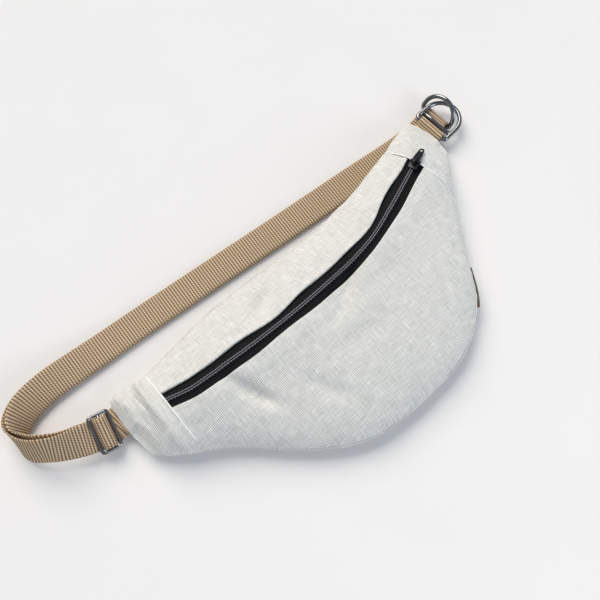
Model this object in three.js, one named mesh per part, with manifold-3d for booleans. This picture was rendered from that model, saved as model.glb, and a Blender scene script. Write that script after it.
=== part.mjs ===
// Hip bag of natural linen with a webbing waist strap, lying on its back on a table.
// Millimetres, +Z up. X runs along the bag from its left end to its right end, and Y towards the waist edge.
import * as THREE from "three";
import { mergeVertices } from "three/addons/utils/BufferGeometryUtils.js";
import Module from "manifold-3d";

const wasm = await Module();
wasm.setup();

// Driving dimensions
const CLOTH = 1.2; // linen wall
const SEAM_GAP = 0.5; // between two sewn panels
const ZIP_OPENING = 16.4; // between the two cloth edges
const TAPE = { width: 10.2, thick: 0.9, depth: 2.1, middleGap: 0.5 };
const COIL = { width: 4.6, thick: 1.7, proud: 0.2 };
const WEBBING = { width: 25, thick: 1.5 };
const WIRE = 3.9; // ring wire diameter
const CLEAR = 0.35; // between pieces that touch on the real bag
const CREST_AFTER_ZIP = 0.05; // the crown lies this far past the zip, as a part of the width
// Exponents of the crown's curve towards the waist edge and towards the lower edge, soft and full
const TOP_ROUND = { soft: [1.7, 1.4], full: [5, 3] };
const LOW_ROUND = { soft: [2.2, 1.8], full: [5, 3] };

// The bag's outline and fullness, a row for each section from the left end to the right end.
// xt, yt, zt: seam on the waist edge. xb, yb, zb: seam on the lower edge. zip: Y of the zip's middle.
// crown: height of the front above its seams. lift: height of the back. rollT, rollB: how far in from each
// seam the back rolls up. full: 1 where the cloth is square over the webbing. bow: how far it bows in X.
const COLUMNS = ["xt", "yt", "zt", "xb", "yb", "zb", "zip", "crown", "lift", "rollT", "rollB", "full", "bow"];
const SECTIONS = table(COLUMNS, [
  [-163.5, 38.5, 10.5, -166, -15, 10.5, 12, 2.5, 7.9, 8, 10, 1, -3],
  [-158, 38, 10, -160, -21, 10, 8, 8.5, 6.5, 14, 14, 0.6, -3],
  [-147, 36.5, 9.5, -150, -29.5, 10.5, 6, 16.5, 3, 20, 20, 0.2, -2],
  [-132, 35, 9, -138.5, -38.5, 11, 4.5, 21, 0.8, 24, 24, 0, 0],
  [-112, 36.8, 8.5, -116, -55.5, 11.5, -3, 25.5, 0, 24, 26, 0, 0],
  [-85, 38.8, 8.5, -88, -85, 12, -7.5, 29, 0, 24, 26, 0, 0],
  [-52, 39.6, 8.5, -54, -113, 12, -12, 32, 0, 24, 26, 0, 0],
  [-15, 37.5, 8.5, -16, -125, 12, -15, 34, 0, 24, 26, 0, 0],
  [25, 33.8, 8.5, 26, -126, 12, -15.5, 34, 0, 24, 26, 0, 0],
  [62, 32.3, 9, 64, -121, 12, -13, 32.5, 0, 28, 26, 0, 0],
  [92, 33.5, 11, 97, -99, 12, -4.5, 29, 0, 40, 26, 0, 0],
  [116, 37, 13, 124, -63, 11.5, 4, 24, 0, 40, 24, 0, 0],
  [137, 40.5, 14, 152, -25, 11, 12.5, 19.2, 3.2, 30, 24, 0, 0],
  [152, 44, 12.5, 163, -12, 10, 17, 15.2, 4.2, 20, 18, 0.2, 0],
  [166, 47.5, 9.5, 171, -2, 9, 23, 7.8, 5.0, 7, 12, 0.7, 1],
  [174.5, 48, 8.5, 178.5, 7, 8.5, 28, 3.6, 5.15, 6, 8, 1, 3],
]);
const LEFT_SEAM = 3;
const RIGHT_SEAM = 12;
const LAST = SECTIONS.length - 1;
const SEAM_STEP = 0.013; // half the gap at a cuff's seam, in sections

// Soft dents (depth above 0) and swells (below 0) of the front, each a smooth oval.
const DENTS = table(["x", "y", "along", "across", "turn", "depth"], [
  [-87, -36, 17, 8, -88, 3.6],
  [24, -32, 32, 9, -14, 2.4],
  [-28, 4, 15, 7, -24, 2.2],
  [95, 22, 14, 5, -60, 1.4],
  [-144, 2, 15, 7, 75, -2.6],
  [-60, -72, 30, 22, -50, 2],
  [60, -70, 34, 30, 35, -1.6],
]);

// The strap's course, halfway between its two layers, from the adjuster to the strap ring, with the
// direction of the webbing's upper edge and the distance of each layer's middle from the course.
const COURSE = table(["x", "y", "z", "wx", "wy", "wz", "apart"], [
  [-196, 27.6, 16.2, 0.38, 0.78, 0.48, 1.1],
  [-209, 33.5, 18.5, 0.28, 0.58, 0.77, 1.7],
  [-220, 41, 20, 0.2, 0.5, 0.84, 2.4],
  [-228.5, 50, 17.5, 0.15, 0.58, 0.8, 2.6],
  [-231.5, 60, 14.8, 0.12, 0.68, 0.72, 2.5],
  [-229, 69, 12.8, 0.1, 0.74, 0.66, 2.3],
  [-221, 76, 11, 0.04, 0.78, 0.62, 2.1],
  [-209, 80.5, 9.2, 0.02, 0.85, 0.52, 1.8],
  [-192, 82.3, 6.9, 0.08, 0.93, 0.36, 1.5],
  [-170, 80.8, 4.75, 0.13, 0.97, 0.2, 1.25],
  [-140, 77.5, 2.9, 0.14, 0.985, 0.06, 1.1],
  [-100, 73, 2.05, 0.14, 0.99, 0, 1.1],
  [-40, 65, 2, 0.14, 0.99, 0, 1.05],
  [30, 55.3, 1.95, 0.13, 0.99, 0, 1.05],
  [100, 46.2, 1.95, 0.13, 0.99, 0, 1.05],
  [150, 39.2, 1.95, 0.1, 0.99, 0, 1.05],
  [176, 37.2, 2.2, 0.02, 1, 0, 1.1],
]);

// Places of the metal pieces
const BAG_RING = { x: 185.3, y: 32, z: 9.9, halfWidth: 16.1, leg: 13.4, radius: 15.6, crossbar: 7 };
const RING_TAB = { y: 31.2, z: 8.55, from: 170.5, mouth: 180.4, apart: 1.05 };
const STRAP_RING = { x: 199, y: 38.4, z: 3.9, halfWidth: 15, leg: 4, tilt: 55 };
const ADJUSTER = { x: -181.2, y: 22.8, z: 13.2, halfWidth: 14.4, halfLength: 7.6, wire: 2.8, raise: 1.8 };
const ADJUSTER_ALONG = new THREE.Vector3(0.95, -0.22, -0.2);
const ADJUSTER_EDGE = new THREE.Vector3(0.4, 0.82, 0.4);
const SLIDER = {
  section: 11.78, length: 9.6, width: 8.4, height: 3.4,
  bridgeRise: 4.2, bridgeHalf: 3.6, bridgeShift: 1.5, bridgeWide: 1.9,
};
const PULLER = {
  length: 17, base: 6, tip: 4.4, thick: 1.2, pin: 1.4, window: 4.6, above: 1.8, tipLift: 1.6,
};
const TAG = { from: 9.84, to: 10.62, reach: 3.4, thick: 1.2 };

const LINEN = { color: 0xdcdad2, roughness: 0.92, metalness: 0 };
const TAPE_BLACK = { color: 0x101012, roughness: 0.85, metalness: 0 };
const COIL_GREY = { color: 0x2a2a2c, roughness: 0.45, metalness: 0 };
const WEBBING_TAN = { color: 0x9a7a4e, roughness: 0.85, metalness: 0 };
const GUNMETAL = { color: 0x3a3a3c, roughness: 0.22, metalness: 1 };
const BLACK_METAL = { color: 0x121213, roughness: 0.35, metalness: 1 };
const TAG_BROWN = { color: 0x4a382c, roughness: 0.8, metalness: 0 };

const bag = new THREE.Group();

function table(names, rows) {
  return rows.map((row) => Object.fromEntries(names.map((name, i) => [name, row[i]])));
}

function piece(name, geometry, finish) {
  const mesh = new THREE.Mesh(geometry, new THREE.MeshStandardMaterial(finish));
  mesh.name = name;
  bag.add(mesh);
  return mesh;
}

// Smooth curve through one column of a table, at a place counted in rows.
function through(rows, name, place) {
  const i = Math.min(Math.floor(place), rows.length - 2);
  const t = place - i;
  const at = (k) => rows[THREE.MathUtils.clamp(k, 0, rows.length - 1)][name];
  const [a, b, c, d] = [at(i - 1), at(i), at(i + 1), at(i + 2)];
  return b + 0.5 * t * (c - a + t * (2 * a - 5 * b + 4 * c - d + t * (3 * (b - c) + d - a)));
}

function section(place) {
  return Object.fromEntries(COLUMNS.map((name) => [name, through(SECTIONS, name, place)]));
}

function zipShare(row, offset) {
  return (row.yt - row.zip - offset) / (row.yt - row.yb);
}

function seamPoint(row, share) {
  return new THREE.Vector3(
    THREE.MathUtils.lerp(row.xt, row.xb, share) + 4 * row.bow * share * (1 - share),
    THREE.MathUtils.lerp(row.yt, row.yb, share),
    THREE.MathUtils.lerp(row.zt, row.zb, share),
  );
}

function dentDepth(x, y) {
  let depth = 0;
  for (const dent of DENTS) {
    const turn = THREE.MathUtils.degToRad(dent.turn);
    const dx = x - dent.x;
    const dy = y - dent.y;
    const along = (dx * Math.cos(turn) + dy * Math.sin(turn)) / dent.along;
    const across = (dy * Math.cos(turn) - dx * Math.sin(turn)) / dent.across;
    depth += dent.depth * Math.exp(-along * along - across * across);
  }
  return depth;
}

// Front of the bag: crowned between its two seams, highest just below the zip.
function frontPoint(place, share) {
  const row = section(place);
  const crest = THREE.MathUtils.clamp(zipShare(row, 0) + CREST_AFTER_ZIP, 0.3, 0.55);
  const low = share > crest;
  const reach = low ? (share - crest) / (1 - crest) : (crest - share) / crest;
  const { soft, full } = low ? LOW_ROUND : TOP_ROUND;
  const [outer, inner] = soft.map((value, i) => THREE.MathUtils.lerp(value, full[i], row.full));
  const rise = Math.pow(Math.max(0, 1 - Math.pow(Math.min(1, reach), outer)), 1 / inner);
  const point = seamPoint(row, share);
  point.z += SEAM_GAP / 2 + (row.crown - dentDepth(point.x, point.y) * Math.min(1, row.crown / 20)) * rise;
  return point;
}

// Back of the bag: flat where it lies, rolled up to the seams all round.
function backPoint(place, share) {
  const row = section(place);
  const wide = row.yt - row.yb;
  const fromTop = Math.max(0, 1 - (share * wide) / row.rollT);
  const fromLow = Math.max(0, 1 - ((1 - share) * wide) / row.rollB);
  const roll = Math.min(1, Math.max(fromTop, fromLow));
  const point = seamPoint(row, share);
  const rim = point.z - SEAM_GAP / 2;
  const lift = Math.max(0, row.lift);
  point.z = lift + (rim - lift) * (1 - Math.sqrt(1 - roll * roll));
  return point;
}

function frontNormal(place, share) {
  const step = 0.004;
  const along = frontPoint(place + step, share).sub(frontPoint(place - step, share));
  const across = frontPoint(place, share - step).sub(frontPoint(place, share + step));
  return along.cross(across).normalize();
}

// Closed geometry of quads given as rows of points: faces on both sides of a wall and round its rim.
class Quads {
  constructor() {
    this.positions = [];
    this.index = [];
  }
  add(points) {
    const first = this.positions.length / 3;
    points.forEach((p) => this.positions.push(p.x, p.y, p.z));
    return points.map((_, i) => first + i);
  }
  quad(a, b, c, d) {
    this.index.push(a, b, c, a, c, d);
  }
  geometry() {
    const made = new THREE.BufferGeometry();
    made.setAttribute("position", new THREE.Float32BufferAttribute(this.positions, 3));
    made.setIndex(this.index);
    return made;
  }
}

function gridNormals(rows, loop, level) {
  const wide = rows[0].length;
  return rows.map((row, i) => row.map((_, j) => {
    const ahead = rows[Math.min(i + 1, rows.length - 1)][j];
    const behind = rows[Math.max(i - 1, 0)][j];
    const left = row[loop ? (j + wide - 1) % wide : Math.max(j - 1, 0)];
    const right = row[loop ? (j + 1) % wide : Math.min(j + 1, wide - 1)];
    const normal = ahead.clone().sub(behind).cross(left.clone().sub(right));
    return (level.includes(j) ? normal.setZ(0) : normal).normalize();
  }));
}

// A wall of even thickness below a grid of surface points. loop: each row closes on itself, as a sleeve does.
// level: the columns that lie on a seam, where the wall's edge is level.
function wall(rows, thick, { loop = false, level = [] } = {}) {
  const quads = new Quads();
  const normals = gridNormals(rows, loop, level);
  const outer = rows.map((row) => quads.add(row));
  const inner = rows.map((row, i) =>
    quads.add(row.map((p, j) => p.clone().addScaledVector(normals[i][j], -thick))));
  const wide = rows[0].length;
  const cells = loop ? wide : wide - 1;
  for (let i = 0; i + 1 < rows.length; i++) {
    for (let j = 0; j < cells; j++) {
      const k = (j + 1) % wide;
      quads.quad(outer[i][k], outer[i + 1][k], outer[i + 1][j], outer[i][j]);
      quads.quad(inner[i][j], inner[i + 1][j], inner[i + 1][k], inner[i][k]);
    }
    if (!loop) {
      const e = wide - 1;
      quads.quad(outer[i][0], outer[i + 1][0], inner[i + 1][0], inner[i][0]);
      quads.quad(inner[i][e], inner[i + 1][e], outer[i + 1][e], outer[i][e]);
    }
  }
  const z = rows.length - 1;
  for (let j = 0; j < cells; j++) {
    const k = (j + 1) % wide;
    quads.quad(outer[0][j], inner[0][j], inner[0][k], outer[0][k]);
    quads.quad(outer[z][k], inner[z][k], inner[z][j], outer[z][j]);
  }
  return quads.geometry();
}

function steps(from, to, count) {
  return Array.from({ length: count + 1 }, (_, i) => from + ((to - from) * i) / count);
}

// Shares across the bag that crowd towards a seam, where the cloth turns over.
function towardsSeam(inside, seam, count) {
  return steps(0, 1, count).map((t) => seam + (inside - seam) * Math.pow(1 - t, 1.8));
}

// Cloth panels between the two cuffs
const panelPlaces = steps(LEFT_SEAM + SEAM_STEP, RIGHT_SEAM - SEAM_STEP, 27);
const upperRows = panelPlaces.map((place) =>
  towardsSeam(zipShare(section(place), ZIP_OPENING / 2), 0, 6).reverse().map((share) => frontPoint(place, share)));
const lowerRows = panelPlaces.map((place) =>
  towardsSeam(zipShare(section(place), -ZIP_OPENING / 2), 1, 11).map((share) => frontPoint(place, share)));
const backShares = steps(0, 1, 14).map((t) => (1 - Math.cos(Math.PI * t)) / 2);
const backRows = panelPlaces.map((place) => backShares.map((share) => backPoint(place, share)).reverse());
piece("front_upper_panel", wall(upperRows, CLOTH, { level: [0] }), LINEN);
piece("front_lower_panel", wall(lowerRows, CLOTH, { level: [lowerRows[0].length - 1] }), LINEN);
piece("back_panel", wall(backRows, CLOTH, { level: [0, backShares.length - 1] }), LINEN);

// End cuffs: sleeves of front and back cloth that close on the webbing
function cuff(name, from, to) {
  const rows = steps(from, to, 8).map((place) => {
    const front = backShares.map((share) => frontPoint(place, share));
    const back = backShares.map((share) => backPoint(place, share)).reverse();
    return [...front, ...back];
  });
  const end = backShares.length;
  piece(name, wall(rows, CLOTH, { loop: true, level: [0, end - 1, end, 2 * end - 1] }), LINEN);
}
cuff("left_cuff", 0, LEFT_SEAM - SEAM_STEP);
cuff("right_cuff", RIGHT_SEAM + SEAM_STEP, LAST);

// Zip: two tapes that tuck under the cloth edges and the cuffs, and the closed coil on them
function zipStrip(from, to, offsets, depth, thick) {
  const rows = steps(from, to, 32).map((place) => {
    const row = section(place);
    return offsets.map((offset) => {
      const share = zipShare(row, offset);
      return frontPoint(place, share).addScaledVector(frontNormal(place, share), -depth);
    });
  });
  return wall(rows, thick);
}
const tapeFrom = LEFT_SEAM - 0.22;
const tapeTo = RIGHT_SEAM + 0.2;
const tapeEdges = steps(TAPE.middleGap / 2, TAPE.middleGap / 2 + TAPE.width, 2);
const upperEdges = [...tapeEdges].reverse();
const lowerEdges = tapeEdges.map((e) => -e);
piece("zip_tape_upper", zipStrip(tapeFrom, tapeTo, upperEdges, TAPE.depth, TAPE.thick), TAPE_BLACK);
piece("zip_tape_lower", zipStrip(tapeFrom, tapeTo, lowerEdges, TAPE.depth, TAPE.thick), TAPE_BLACK);
const coilEdges = steps(COIL.width / 2, -COIL.width / 2, 2);
const coilTo = SLIDER.section + 0.06;
piece("zip_coil", zipStrip(LEFT_SEAM + 0.03, coilTo, coilEdges, -COIL.proud, COIL.thick), COIL_GREY);

// Solids for joins and cuts
function solid(geometry) {
  const bare = geometry.clone();
  bare.deleteAttribute("normal");
  bare.deleteAttribute("uv");
  const welded = mergeVertices(bare, 1e-4);
  return new wasm.Manifold(new wasm.Mesh({
    numProp: 3,
    vertProperties: new Float32Array(welded.attributes.position.array),
    triVerts: new Uint32Array(welded.index.array),
  }));
}

function geometryOf(body) {
  const mesh = body.getMesh();
  const made = new THREE.BufferGeometry();
  made.setAttribute("position", new THREE.BufferAttribute(new Float32Array(mesh.vertProperties), 3));
  made.setIndex(new THREE.BufferAttribute(new Uint32Array(mesh.triVerts), 1));
  return made;
}

function extrudeFlat(points, thick, holes = []) {
  const shape = new THREE.Shape(points);
  shape.holes = holes.map((hole) => new THREE.Path(hole));
  return new THREE.ExtrudeGeometry(shape, { depth: thick, bevelEnabled: false });
}

function roundedBox(halfX, halfY, radius, count = 4) {
  const corners = [[1, 1, 0], [-1, 1, 1], [-1, -1, 2], [1, -1, 3]];
  return corners.flatMap(([sx, sy, quarter]) => steps(0, 1, count).map((t) => {
    const turn = (Math.PI / 2) * (quarter + t);
    return new THREE.Vector2(
      sx * (halfX - radius) + radius * Math.cos(turn),
      sy * (halfY - radius) + radius * Math.sin(turn),
    );
  }));
}

// Frame of axes along the zip where the slider sits: X along it, Y across, Z out of the cloth.
function zipFrame(place) {
  const share = zipShare(section(place), 0);
  const out = frontNormal(place, share);
  const ahead = frontPoint(place + 0.02, zipShare(section(place + 0.02), 0));
  const along = ahead.sub(frontPoint(place - 0.02, zipShare(section(place - 0.02), 0)));
  along.addScaledVector(out, -along.dot(out)).normalize();
  const across = new THREE.Vector3().crossVectors(out, along);
  const frame = new THREE.Matrix4().makeBasis(along, across, out);
  return frame.setPosition(frontPoint(place, share));
}

// Slider: a tapered body with a channel for the coil, and a bridge that holds the puller's pin
const seatFrame = zipFrame(SLIDER.section);
const bodyFoot = -(TAPE.depth - CLEAR);
const bodyTop = bodyFoot + SLIDER.height;
const pinHeight = bodyTop + PULLER.above;
function sliderBody() {
  const { length, width, height } = SLIDER;
  const outline = [
    [-0.5, -0.36], [-0.38, -0.43], [0.1, -0.5], [0.44, -0.5], [0.5, -0.4],
    [0.5, 0.4], [0.44, 0.5], [0.1, 0.5], [-0.38, 0.43], [-0.5, 0.36],
  ].map(([x, y]) => new THREE.Vector2(x * length, y * width));
  const body = extrudeFlat(outline, height).translate(0, 0, bodyFoot);
  const channelTop = COIL.proud + CLEAR;
  const channel = new THREE.BoxGeometry(length + 2, COIL.width + 2 * CLEAR, channelTop - bodyFoot + 1);
  channel.translate(0, 0, (channelTop + bodyFoot - 1) / 2);
  const eye = PULLER.pin / 2 + 0.5;
  const arch = extrudeFlat(
    roundedBox(SLIDER.bridgeHalf, SLIDER.bridgeRise, 1.6),
    SLIDER.bridgeWide,
    [roundedBox(eye + 0.5, PULLER.above + eye, 0.5, 2).reverse()],
  );
  arch.rotateX(Math.PI / 2).translate(SLIDER.bridgeShift, SLIDER.bridgeWide / 2, bodyTop);
  const below = new THREE.BoxGeometry(2 * length, width, 12).translate(0, 0, bodyTop - 6.1);
  const bridge = solid(arch).subtract(solid(below));
  return geometryOf(solid(body).subtract(solid(channel)).add(bridge));
}
piece("zip_slider", sliderBody().applyMatrix4(seatFrame), BLACK_METAL);

// Puller: a tapered plate with a window round the bridge and a slot near its tip, lying on the right cuff
function pullerPlate() {
  const { length, base, tip, thick, pin, window } = PULLER;
  const tipRound = steps(-Math.PI / 2, Math.PI / 2, 6).map((turn) =>
    new THREE.Vector2(length - tip / 2 + (tip / 2) * Math.cos(turn), (tip / 2) * Math.sin(turn)));
  const outline = [
    new THREE.Vector2(-pin / 2, base / 2 - 0.4), new THREE.Vector2(-pin / 2, -base / 2 + 0.4),
    new THREE.Vector2(0, -base / 2), new THREE.Vector2(window + 1, -base / 2 + 0.1),
    ...tipRound,
    new THREE.Vector2(window + 1, base / 2 - 0.1), new THREE.Vector2(0, base / 2),
  ];
  const half = SLIDER.bridgeWide / 2 + CLEAR;
  const opening = roundedBox((window - pin / 2) / 2, half, 0.3, 2)
    .map((p) => p.setX(p.x + (window + pin / 2) / 2)).reverse();
  const slot = roundedBox(1.3, 0.85, 0.8, 3).map((p) => p.setX(p.x + length - 2.6)).reverse();
  return extrudeFlat(outline, thick, [opening, slot]).translate(0, 0, -thick / 2);
}
const pinPoint = new THREE.Vector3(SLIDER.bridgeShift, 0, pinHeight).applyMatrix4(seatFrame);
const tipPlace = RIGHT_SEAM + 0.72;
const tipShare = zipShare(section(tipPlace), 0);
const tipPoint = frontPoint(tipPlace, tipShare)
  .addScaledVector(frontNormal(tipPlace, tipShare), PULLER.thick / 2 + PULLER.tipLift);
const pinAxis = new THREE.Vector3().setFromMatrixColumn(seatFrame, 1);
const pullerAlong = tipPoint.sub(pinPoint);
pullerAlong.addScaledVector(pinAxis, -pullerAlong.dot(pinAxis)).normalize();
const pullerOut = new THREE.Vector3().crossVectors(pullerAlong, pinAxis);
const pullerFrame = new THREE.Matrix4().makeBasis(pullerAlong, pinAxis, pullerOut).setPosition(pinPoint);
piece("zip_puller", pullerPlate().applyMatrix4(pullerFrame), BLACK_METAL);

// Webbing: a flat band along a line of middle points, each with the direction of its upper edge
function band(course) {
  const quads = new Quads();
  const rings = course.map(({ point, edge }, i) => {
    const ahead = course[Math.min(i + 1, course.length - 1)].point;
    const behind = course[Math.max(i - 1, 0)].point;
    const along = ahead.clone().sub(behind).normalize();
    const wide = edge.clone().addScaledVector(along, -edge.dot(along)).setLength(WEBBING.width / 2);
    const face = new THREE.Vector3().crossVectors(along, wide).setLength(WEBBING.thick / 2);
    return quads.add([[1, 1], [-1, 1], [-1, -1], [1, -1]].map(([w, f]) =>
      point.clone().addScaledVector(wide, w).addScaledVector(face, f)));
  });
  for (let i = 0; i + 1 < rings.length; i++) {
    for (let k = 0; k < 4; k++) {
      const n = (k + 1) % 4;
      quads.quad(rings[i][k], rings[i][n], rings[i + 1][n], rings[i + 1][k]);
    }
  }
  const [a, z] = [rings[0], rings.at(-1)];
  quads.quad(a[3], a[2], a[1], a[0]);
  quads.quad(z[0], z[1], z[2], z[3]);
  return quads.geometry();
}

// Half a turn round a bar, from its near side over the far side
function turnRound(centre, out, up, edge, radius, from, to, count) {
  return steps(from, to, count).map((degrees) => {
    const turn = THREE.MathUtils.degToRad(degrees);
    const point = centre.clone()
      .addScaledVector(out, radius * Math.cos(turn)).addScaledVector(up, radius * Math.sin(turn));
    return { point, edge: edge.clone() };
  });
}

const wrapRadius = WIRE / 2 + CLEAR - 0.05 + WEBBING.thick / 2;

// Places along the course, with its direction, the upper edge's direction and the face's normal
function courseAt(place) {
  const at = (p) => new THREE.Vector3(...["x", "y", "z"].map((name) => through(COURSE, name, p)));
  const along = at(Math.min(place + 0.02, COURSE.length - 1)).sub(at(Math.max(place - 0.02, 0))).normalize();
  const edge = new THREE.Vector3(...["wx", "wy", "wz"].map((name) => through(COURSE, name, place)));
  edge.addScaledVector(along, -edge.dot(along)).normalize();
  const apart = through(COURSE, "apart", place);
  return { point: at(place), along, edge, apart, face: new THREE.Vector3().crossVectors(edge, along) };
}

// The adjuster's own axes: along the webbing, towards its upper edge, and out of its face
const adjusterAlong = ADJUSTER_ALONG.clone().normalize();
const adjusterEdge = ADJUSTER_EDGE.clone()
  .addScaledVector(adjusterAlong, -ADJUSTER_EDGE.dot(adjusterAlong)).normalize();
const adjusterOut = new THREE.Vector3().crossVectors(adjusterAlong, adjusterEdge);
const adjusterMiddle = new THREE.Vector3(ADJUSTER.x, ADJUSTER.y, ADJUSTER.z);
function atAdjuster(along, out) {
  const point = adjusterMiddle.clone().addScaledVector(adjusterAlong, along).addScaledVector(adjusterOut, out);
  return { point, edge: adjusterEdge.clone() };
}

function smoothBand(points, count) {
  const middle = new THREE.CatmullRomCurve3(points.map((p) => p.point), false, "centripetal");
  return steps(0, 1, count).map((t) => {
    const i = Math.min(Math.floor(t * (points.length - 1)), points.length - 2);
    const edge = points[i].edge.clone().lerp(points[i + 1].edge, t * (points.length - 1) - i);
    return { point: middle.getPoint(t), edge: edge.normalize() };
  });
}

// Points on an arc in the adjuster's cross-section, about a bar
function arcAtAdjuster(along, radius, degrees) {
  return degrees.map((angle) => {
    const turn = THREE.MathUtils.degToRad(angle);
    return atAdjuster(along + radius * Math.cos(turn), ADJUSTER.raise + radius * Math.sin(turn));
  });
}

function strapCourse() {
  const barWrap = ADJUSTER.wire / 2 + CLEAR + WEBBING.thick / 2;
  const overWrap = barWrap + WEBBING.thick + CLEAR + 0.1;
  const passWrap = barWrap + 0.3;
  const reach = ADJUSTER.halfLength;
  const steep = 90 - THREE.MathUtils.radToDeg(Math.asin((passWrap + overWrap) / reach));
  const sewnEnd = arcAtAdjuster(0, barWrap, steps(140, -95, 9));
  const places = steps(0, COURSE.length - 1, 44).map(courseAt);
  const layer = (side) => places.map(({ point, edge, face, apart }) =>
    ({ point: point.clone().addScaledVector(face, side * apart), edge }));
  const innerLayer = layer(-1);
  const outerLayer = layer(1).reverse();
  const under = ADJUSTER.raise - passWrap - WEBBING.thick - CLEAR - 0.1;
  const innerStart = smoothBand(
    [sewnEnd.at(-1), atAdjuster(-reach * 0.6, under + 0.7), atAdjuster(-reach, under), innerLayer[0]], 7);
  const ringBar = new THREE.Vector3(STRAP_RING.x, STRAP_RING.y, STRAP_RING.z);
  const ringOut = new THREE.Vector3(1, 0, 0);
  const ringUp = new THREE.Vector3(0, 0, 1);
  const ringTurn = turnRound(ringBar, ringOut, ringUp, new THREE.Vector3(0, 1, 0), wrapRadius, 98, -90, 9);
  const toRing = smoothBand([innerLayer.at(-1), ringTurn[0]], 5);
  const fromRing = smoothBand([ringTurn.at(-1), outerLayer[0]], 5);
  const weave = smoothBand([
    outerLayer.at(-1),
    ...arcAtAdjuster(-reach, passWrap, [-90, -55, -steep]),
    ...arcAtAdjuster(0, overWrap, [180 - steep, 122, 90, 58, steep]),
    ...arcAtAdjuster(reach, passWrap, [180 + steep, 235, 275]),
  ], 33);
  const twist = smoothBand([weave.at(-1), LEFT_EXIT[0]], 8);
  return [
    ...sewnEnd, ...innerStart.slice(1, -1), ...innerLayer, ...toRing.slice(1, -1),
    ...ringTurn, ...fromRing.slice(1, -1), ...outerLayer, ...weave.slice(1),
    ...twist.slice(1), LEFT_EXIT[1],
  ];
}
// Where the webbing enters the left cuff, and where it ends inside
const LEFT_EXIT = [
  { point: new THREE.Vector3(-169.8, 22, 10.58), edge: new THREE.Vector3(0.22, 0.975, 0) },
  { point: new THREE.Vector3(-160, 22, 10.62), edge: new THREE.Vector3(0.22, 0.975, 0) },
];
piece("strap", band(strapCourse()), WEBBING_TAN);

// Loop of webbing in the right cuff, round the bag ring's straight bar
function tabCourse() {
  const bar = new THREE.Vector3(BAG_RING.x, RING_TAB.y, BAG_RING.z);
  const edge = new THREE.Vector3(0, 1, 0);
  const inCuff = (x, out) => (
    { point: new THREE.Vector3(x, RING_TAB.y, RING_TAB.z + out), edge: edge.clone() });
  const outward = new THREE.Vector3(1, 0, 0);
  const up = new THREE.Vector3(0, 0, 1);
  const turn = turnRound(bar, outward, up, edge, wrapRadius + 0.1, 130, -103, 10);
  const upper = [inCuff(RING_TAB.from, RING_TAB.apart), inCuff(RING_TAB.mouth, RING_TAB.apart)];
  const lower = [inCuff(RING_TAB.mouth, -RING_TAB.apart), inCuff(RING_TAB.from, -RING_TAB.apart)];
  return [...upper, ...turn, ...lower];
}
piece("ring_tab", band(tabCourse()), WEBBING_TAN);

// Wire bent to a closed line in a plane
function wireLoop(outline, radius, count) {
  const points = outline.map((p) => new THREE.Vector3(p.x, p.y, 0));
  const path = new THREE.CatmullRomCurve3(points, true, "centripetal");
  return new THREE.TubeGeometry(path, count, radius, 9, true);
}

function barAcross(x, halfLength, radius) {
  return new THREE.CylinderGeometry(radius, radius, 2 * halfLength, 9).translate(x, 0, 0);
}

// D outline in its own plane: the straight bar lies on Y, and the round side on +X
function dOutline(halfWidth, leg, radius, corner) {
  const bar = steps(-halfWidth + corner, halfWidth - corner, 6).map((y) => new THREE.Vector2(0, y));
  const sides = steps(corner, leg, 3);
  const outer = (x) => THREE.MathUtils.lerp(halfWidth, radius, x / leg);
  const round = steps(80, -80, 12).map((degrees) => {
    const turn = THREE.MathUtils.degToRad(degrees);
    return new THREE.Vector2(leg + radius * Math.cos(turn), radius * Math.sin(turn));
  });
  return [
    ...bar, ...sides.map((x) => new THREE.Vector2(x, outer(x))),
    ...round, ...sides.reverse().map((x) => new THREE.Vector2(x, -outer(x))),
  ];
}

const bagLoop = wireLoop(dOutline(BAG_RING.halfWidth, BAG_RING.leg, BAG_RING.radius, 1.8), WIRE / 2, 52);
const bagCross = barAcross(BAG_RING.crossbar, BAG_RING.halfWidth + 0.4, WIRE / 2 - 0.1);
const bagRing = piece("bag_ring", geometryOf(solid(bagLoop).add(solid(bagCross))), GUNMETAL);
bagRing.position.set(BAG_RING.x, BAG_RING.y, BAG_RING.z);

const strapOutline = dOutline(STRAP_RING.halfWidth, STRAP_RING.leg, STRAP_RING.halfWidth, 1.8);
const strapLoop = wireLoop(strapOutline, WIRE / 2, 48);
const strapRing = piece("strap_ring", strapLoop, GUNMETAL);
strapRing.position.set(STRAP_RING.x, STRAP_RING.y, STRAP_RING.z);
strapRing.rotation.set(0, -THREE.MathUtils.degToRad(STRAP_RING.tilt), 0);

// Adjuster: a rounded frame of wire with a middle bar
function adjusterFrame() {
  const outline = roundedBox(ADJUSTER.halfLength, ADJUSTER.halfWidth, 1.5, 3);
  const frame = wireLoop(outline, ADJUSTER.wire / 2, 48);
  const middle = barAcross(0, ADJUSTER.halfWidth, ADJUSTER.wire / 2 - 0.05);
  return geometryOf(solid(frame).add(solid(middle)));
}
const adjusterAxes = new THREE.Matrix4().makeBasis(adjusterAlong, adjusterEdge, adjusterOut)
  .setPosition(atAdjuster(0, ADJUSTER.raise).point);
piece("adjuster_slide", adjusterFrame().applyMatrix4(adjusterAxes), GUNMETAL);

// Plain tag that stands out of the lower seam
function tagStrip() {
  const rows = steps(TAG.from, TAG.to, 8).map((place) => {
    const seam = seamPoint(section(place), 1);
    const ahead = seamPoint(section(place + 0.02), 1).sub(seamPoint(section(place - 0.02), 1)).normalize();
    const out = new THREE.Vector3(ahead.y, -ahead.x, 0);
    return [CLEAR, TAG.reach].map((far) =>
      seam.clone().addScaledVector(out, far).add(new THREE.Vector3(0, 0, TAG.thick / 2)));
  });
  return wall(rows, TAG.thick);
}
piece("side_tag", tagStrip(), TAG_BROWN);

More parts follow.
